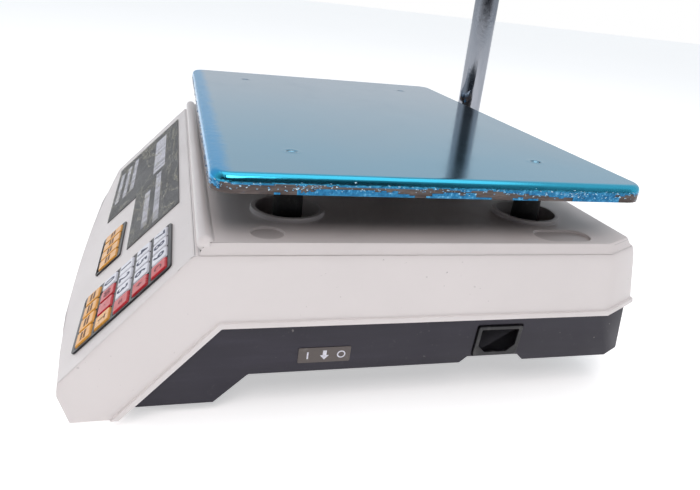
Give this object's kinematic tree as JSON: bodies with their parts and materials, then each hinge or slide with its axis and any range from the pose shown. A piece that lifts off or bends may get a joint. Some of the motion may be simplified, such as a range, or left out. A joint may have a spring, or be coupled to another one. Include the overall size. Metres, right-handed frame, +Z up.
{
  "type": "retail price scale",
  "caption": "Counter price scale: steel pan on posts over a wide moulded casing with a sloped keypad panel, levelling feet and a display on a pole.",
  "frame": {"origin": "middle of the footprint, on the surface that the feet stand on", "axes": "+X to the operator's right, +Y towards the back, +Z up"},
  "size_m": [0.3596, 0.3575, 0.516],
  "materials": {
    "cover_plastic": "fine moulded texture, off-white",
    "base_plastic": "fine moulded texture, dark blue-grey",
    "overlay_film": "smooth printed film",
    "bezel_plastic": "smooth",
    "label_plate": "printed plate",
    "level_vial": "clear over green",
    "zinc_steel": "zinc plated",
    "circuit_board": "solder mask",
    "display_cells": "glass cells",
    "switch_plastic": "fine moulded texture",
    "pan_steel": "stainless, bright",
    "blue_film": "thin clear blue protective film",
    "post_rubber": "moulded",
    "cast_aluminium": "as cast",
    "bar_aluminium": "milled",
    "chassis_steel": "grey paint",
    "transformer_core": "varnished laminations",
    "battery_case": "smooth case",
    "contact_brass": "bright",
    "foot_rubber": "moulded",
    "pole_chrome": "bright plated",
    "key_white": "satin",
    "key_red": "satin",
    "key_orange": "satin",
    "display_window": "dark window"
  },
  "bodies": {
    "casing": {"upper_shell": "cover_plastic", "lower_base": "base_plastic", "operator_overlay": "overlay_film", "keypad_bezel": "bezel_plastic", "memory_bezel": "bezel_plastic", "switch_label": "label_plate", "spirit_level": "level_vial", "case_screws": "zinc_steel", "key_board": "circuit_board", "display_module": "display_cells", "rocker_body": "switch_plastic", "pan_posts": "post_rubber", "spider": "cast_aluminium", "load_cell": "bar_aluminium", "load_cell_blocks": "bar_aluminium", "load_cell_bolts": "zinc_steel", "chassis_plate": "chassis_steel", "transformer": "transformer_core", "battery": "battery_case", "main_board": "circuit_board", "inlet_body": "switch_plastic", "inlet_pins": "contact_brass", "pole_socket": "base_plastic"},
    "pan": {"pan": "pan_steel", "pan_film": "blue_film"},
    "rocker": {"rocker": "switch_plastic"},
    "battery_door": {"battery_door": "base_plastic"},
    "pole": {"pole_tube": "pole_chrome", "head_bracket": "switch_plastic"},
    "head": {"head_front_shell": "cover_plastic", "head_rear_shell": "cover_plastic", "head_windows": "display_window"},
    "foot_front_left": {"foot_front_left": "foot_rubber"},
    "foot_front_right": {"foot_front_right": "foot_rubber"},
    "foot_rear_left": {"foot_rear_left": "foot_rubber"},
    "foot_rear_right": {"foot_rear_right": "foot_rubber"},
    "key_7": {"key_7": "key_white"},
    "key_8": {"key_8": "key_white"},
    "key_9": {"key_9": "key_white"},
    "key_clear": {"key_clear": "key_red"},
    "key_4": {"key_4": "key_white"},
    "key_5": {"key_5": "key_white"},
    "key_6": {"key_6": "key_white"},
    "key_add": {"key_add": "key_red"},
    "key_1": {"key_1": "key_white"},
    "key_2": {"key_2": "key_white"},
    "key_3": {"key_3": "key_white"},
    "key_total": {"key_total": "key_red"},
    "key_0": {"key_0": "key_white"},
    "key_double_zero": {"key_double_zero": "key_red"},
    "key_point": {"key_point": "key_red"},
    "key_tare": {"key_tare": "key_orange"},
    "key_mode": {"key_mode": "key_orange"},
    "key_light": {"key_light": "key_orange"},
    "key_change": {"key_change": "key_orange"},
    "key_zero": {"key_zero": "key_orange"},
    "key_m1": {"key_m1": "key_orange"},
    "key_m2": {"key_m2": "key_orange"},
    "key_m3": {"key_m3": "key_orange"},
    "key_m4": {"key_m4": "key_orange"}
  },
  "joints": [
    {"name": "pan_lift", "type": "slide", "parent": "casing", "child": "pan", "axis": [0, 0, 1], "range_m": [0, 0.06]},
    {"name": "rocker_tip", "type": "hinge", "parent": "casing", "child": "rocker", "pos_m": [0.15, -0.0405, 0.024], "axis": [1, 0, 0], "range_deg": [0, 24]},
    {"name": "battery_door_drop", "type": "slide", "parent": "casing", "child": "battery_door", "axis": [0, 0, -1], "range_m": [0, 0.02]},
    {"name": "pole_swivel", "type": "hinge", "parent": "casing", "child": "pole", "pos_m": [-0.1295, 0.1652, 0.2], "axis": [0, 0, 1], "range_deg": [-170, 170]},
    {"name": "head_tilt", "type": "hinge", "parent": "pole", "child": "head", "pos_m": [-0.1295, 0.1652, 0.4088], "axis": [1, 0, 0], "range_deg": [-18, 18]},
    {"name": "foot_front_left_screw", "type": "slide", "parent": "casing", "child": "foot_front_left", "axis": [0, 0, -1], "range_m": [0, 0.006]},
    {"name": "foot_front_right_screw", "type": "slide", "parent": "casing", "child": "foot_front_right", "axis": [0, 0, -1], "range_m": [0, 0.006]},
    {"name": "foot_rear_left_screw", "type": "slide", "parent": "casing", "child": "foot_rear_left", "axis": [0, 0, -1], "range_m": [0, 0.006]},
    {"name": "foot_rear_right_screw", "type": "slide", "parent": "casing", "child": "foot_rear_right", "axis": [0, 0, -1], "range_m": [0, 0.006]},
    {"name": "key_7_press", "type": "slide", "parent": "casing", "child": "key_7", "axis": [0, 0.7157, -0.6984], "range_m": [0, 0.0008], "stiffness_N_per_m": 1200, "springref_m": -0.0004},
    {"name": "key_8_press", "type": "slide", "parent": "casing", "child": "key_8", "axis": [0, 0.7157, -0.6984], "range_m": [0, 0.0008], "stiffness_N_per_m": 1200, "springref_m": -0.0004},
    {"name": "key_9_press", "type": "slide", "parent": "casing", "child": "key_9", "axis": [0, 0.7157, -0.6984], "range_m": [0, 0.0008], "stiffness_N_per_m": 1200, "springref_m": -0.0004},
    {"name": "key_clear_press", "type": "slide", "parent": "casing", "child": "key_clear", "axis": [0, 0.7157, -0.6984], "range_m": [0, 0.0008], "stiffness_N_per_m": 1200, "springref_m": -0.0004},
    {"name": "key_4_press", "type": "slide", "parent": "casing", "child": "key_4", "axis": [0, 0.7157, -0.6984], "range_m": [0, 0.0008], "stiffness_N_per_m": 1200, "springref_m": -0.0004},
    {"name": "key_5_press", "type": "slide", "parent": "casing", "child": "key_5", "axis": [0, 0.7157, -0.6984], "range_m": [0, 0.0008], "stiffness_N_per_m": 1200, "springref_m": -0.0004},
    {"name": "key_6_press", "type": "slide", "parent": "casing", "child": "key_6", "axis": [0, 0.7157, -0.6984], "range_m": [0, 0.0008], "stiffness_N_per_m": 1200, "springref_m": -0.0004},
    {"name": "key_add_press", "type": "slide", "parent": "casing", "child": "key_add", "axis": [0, 0.7157, -0.6984], "range_m": [0, 0.0008], "stiffness_N_per_m": 1200, "springref_m": -0.0004},
    {"name": "key_1_press", "type": "slide", "parent": "casing", "child": "key_1", "axis": [0, 0.7157, -0.6984], "range_m": [0, 0.0008], "stiffness_N_per_m": 1200, "springref_m": -0.0004},
    {"name": "key_2_press", "type": "slide", "parent": "casing", "child": "key_2", "axis": [0, 0.7157, -0.6984], "range_m": [0, 0.0008], "stiffness_N_per_m": 1200, "springref_m": -0.0004},
    {"name": "key_3_press", "type": "slide", "parent": "casing", "child": "key_3", "axis": [0, 0.7157, -0.6984], "range_m": [0, 0.0008], "stiffness_N_per_m": 1200, "springref_m": -0.0004},
    {"name": "key_total_press", "type": "slide", "parent": "casing", "child": "key_total", "axis": [0, 0.7157, -0.6984], "range_m": [0, 0.0008], "stiffness_N_per_m": 1200, "springref_m": -0.0004},
    {"name": "key_0_press", "type": "slide", "parent": "casing", "child": "key_0", "axis": [0, 0.7157, -0.6984], "range_m": [0, 0.0008], "stiffness_N_per_m": 1200, "springref_m": -0.0004},
    {"name": "key_double_zero_press", "type": "slide", "parent": "casing", "child": "key_double_zero", "axis": [0, 0.7157, -0.6984], "range_m": [0, 0.0008], "stiffness_N_per_m": 1200, "springref_m": -0.0004},
    {"name": "key_point_press", "type": "slide", "parent": "casing", "child": "key_point", "axis": [0, 0.7157, -0.6984], "range_m": [0, 0.0008], "stiffness_N_per_m": 1200, "springref_m": -0.0004},
    {"name": "key_tare_press", "type": "slide", "parent": "casing", "child": "key_tare", "axis": [0, 0.7157, -0.6984], "range_m": [0, 0.0008], "stiffness_N_per_m": 1200, "springref_m": -0.0004},
    {"name": "key_mode_press", "type": "slide", "parent": "casing", "child": "key_mode", "axis": [0, 0.7157, -0.6984], "range_m": [0, 0.0008], "stiffness_N_per_m": 1200, "springref_m": -0.0004},
    {"name": "key_light_press", "type": "slide", "parent": "casing", "child": "key_light", "axis": [0, 0.7157, -0.6984], "range_m": [0, 0.0008], "stiffness_N_per_m": 1200, "springref_m": -0.0004},
    {"name": "key_change_press", "type": "slide", "parent": "casing", "child": "key_change", "axis": [0, 0.7157, -0.6984], "range_m": [0, 0.0008], "stiffness_N_per_m": 1200, "springref_m": -0.0004},
    {"name": "key_zero_press", "type": "slide", "parent": "casing", "child": "key_zero", "axis": [0, 0.7157, -0.6984], "range_m": [0, 0.0008], "stiffness_N_per_m": 1200, "springref_m": -0.0004},
    {"name": "key_m1_press", "type": "slide", "parent": "casing", "child": "key_m1", "axis": [0, 0.7157, -0.6984], "range_m": [0, 0.0008], "stiffness_N_per_m": 1200, "springref_m": -0.0004},
    {"name": "key_m2_press", "type": "slide", "parent": "casing", "child": "key_m2", "axis": [0, 0.7157, -0.6984], "range_m": [0, 0.0008], "stiffness_N_per_m": 1200, "springref_m": -0.0004},
    {"name": "key_m3_press", "type": "slide", "parent": "casing", "child": "key_m3", "axis": [0, 0.7157, -0.6984], "range_m": [0, 0.0008], "stiffness_N_per_m": 1200, "springref_m": -0.0004},
    {"name": "key_m4_press", "type": "slide", "parent": "casing", "child": "key_m4", "axis": [0, 0.7157, -0.6984], "range_m": [0, 0.0008], "stiffness_N_per_m": 1200, "springref_m": -0.0004}
  ]
}
